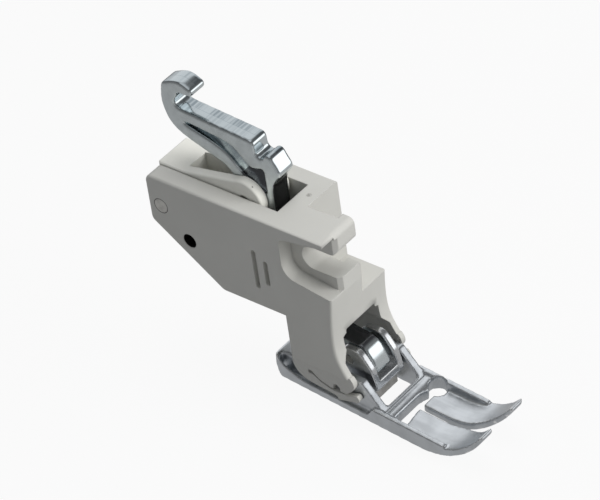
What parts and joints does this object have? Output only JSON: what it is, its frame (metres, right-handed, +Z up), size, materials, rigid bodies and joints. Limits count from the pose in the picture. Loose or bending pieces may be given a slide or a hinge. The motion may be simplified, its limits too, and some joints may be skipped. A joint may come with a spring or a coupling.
{
  "type": "sewing machine presser foot with upper-feed holder",
  "caption": "Snap-in zigzag presser foot on a moulded low-shank holder, with a chromed hooked lever that carries an upper feed bracket through the foot",
  "frame": {"origin": "the axis of the clamp screw slot where it meets the holder's middle plane", "axes": "+Z up along the presser bar, +Y to the rear of the machine, +X to the operator's right; the YZ plane is the middle plane of the holder, the lever and the foot"},
  "size_m": [0.012, 0.0531, 0.0448],
  "materials": {
    "body_plastic": "fine satin moulding, warm light grey",
    "pin_steel": "ground pin end",
    "rocker_plastic": "satin moulding, off-white grey",
    "lever_chrome": "bright nickel-chrome plate, satin flanks",
    "bracket_nickel": "pale satin nickel",
    "sole_steel": "dull hardened steel",
    "foot_chrome": "bright plated casting, softened by polishing"
  },
  "bodies": {
    "holder": {"holder_body": "body_plastic", "rear_pin": "pin_steel"},
    "rocker": {"rocker": "rocker_plastic", "lever_pin": "pin_steel"},
    "lever": {"drive_lever": "lever_chrome", "feed_pin": "pin_steel"},
    "feed": {"feed_bracket": "bracket_nickel", "feed_sole": "sole_steel"},
    "foot": {"presser_foot": "foot_chrome"}
  },
  "joints": [
    {"name": "rocker_lift", "type": "hinge", "parent": "holder", "child": "rocker", "pos_m": [0, 0.02436, 0.00092], "axis": [1, 0, 0], "range_deg": [-2, 1]},
    {"name": "lever_swing", "type": "hinge", "parent": "rocker", "child": "lever", "pos_m": [0, 0.0114, 0.0049], "axis": [1, 0, 0], "range_deg": [-3, 3]},
    {"name": "feed_tilt", "type": "hinge", "parent": "lever", "child": "feed", "pos_m": [0, -0.0033, -0.0167], "axis": [1, 0, 0], "range_deg": [-6, 4]},
    {"name": "foot_tilt", "type": "hinge", "parent": "holder", "child": "foot", "pos_m": [0, -0.00285, -0.01995], "axis": [1, 0, 0], "range_deg": [-8, 5]}
  ]
}
